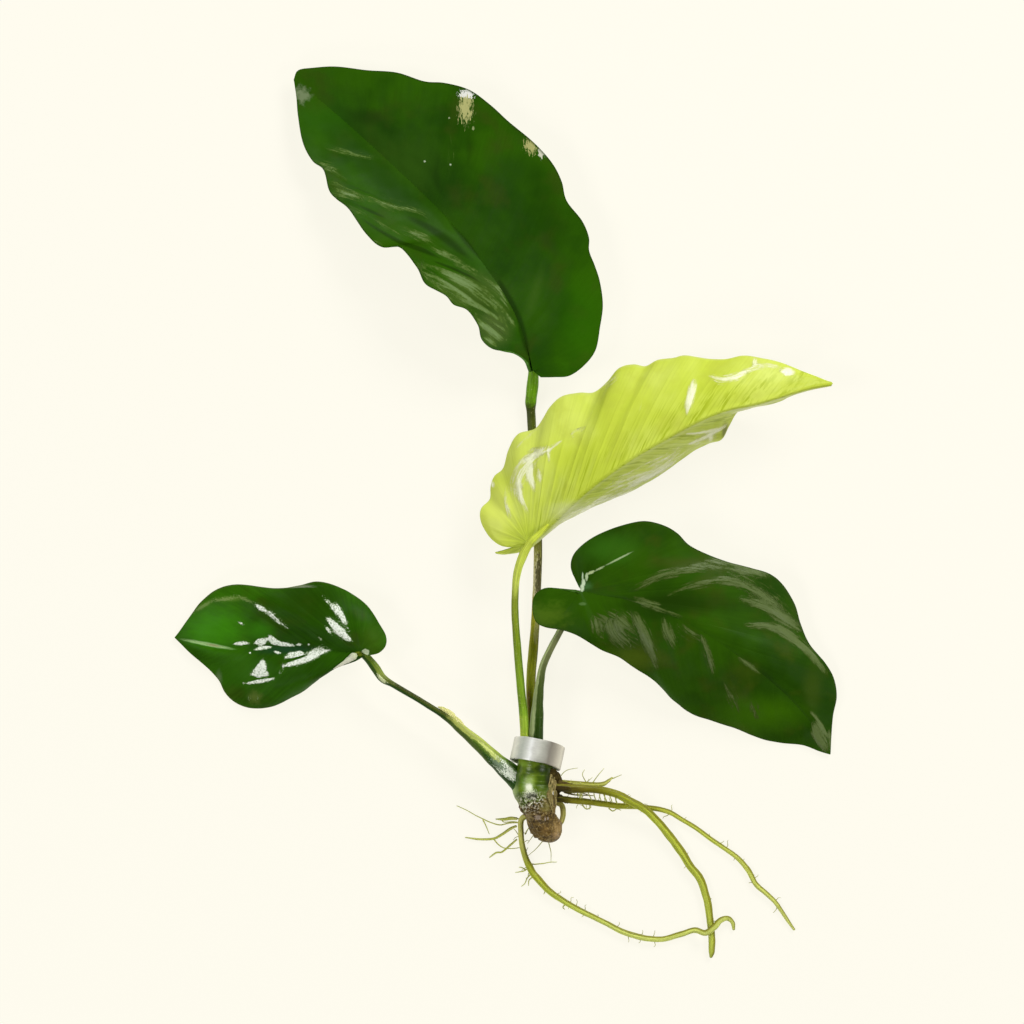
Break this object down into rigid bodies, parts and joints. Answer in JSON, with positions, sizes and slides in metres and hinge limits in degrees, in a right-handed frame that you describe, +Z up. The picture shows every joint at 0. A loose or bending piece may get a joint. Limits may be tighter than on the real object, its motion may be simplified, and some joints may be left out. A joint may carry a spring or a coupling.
{
  "type": "bare-rooted anubias plant",
  "caption": "Bare-rooted aquarium plant lying flat: broad leaf blades on stalks, a thick creeping rhizome, long roots and a soft metal weight band.",
  "frame": {"origin": "middle of the plant's outline as it lies, at the height of the surface it rests on", "axes": "+Z up from the surface, +Y from the roots towards the tallest leaf, +X towards the young leaf's tip"},
  "size_m": [0.2183, 0.2942, 0.0255],
  "materials": {
    "dark_leaf": "waxy gloss, dark green",
    "young_leaf": "waxy gloss, yellow green",
    "stalk": "smooth satin, green",
    "rhizome": "green above, brown and grainy below",
    "root": "smooth satin, yellow green",
    "band_metal": "satin grey metal"
  },
  "bodies": {
    "root": {"leaf_tall": "dark_leaf", "leaf_young": "young_leaf", "leaf_right": "dark_leaf", "leaf_left": "dark_leaf", "stalk_tall": "stalk", "stalk_young": "stalk", "stalk_right": "stalk", "stalk_left": "stalk", "rhizome": "rhizome", "weight_band": "band_metal", "root_thick": "root", "root_long": "root", "root_hooked": "root", "root_short": "root", "root_stub": "root", "rootlet_upper": "root", "rootlet_middle": "root", "rootlet_lower": "root"}
  },
  "joints": []
}
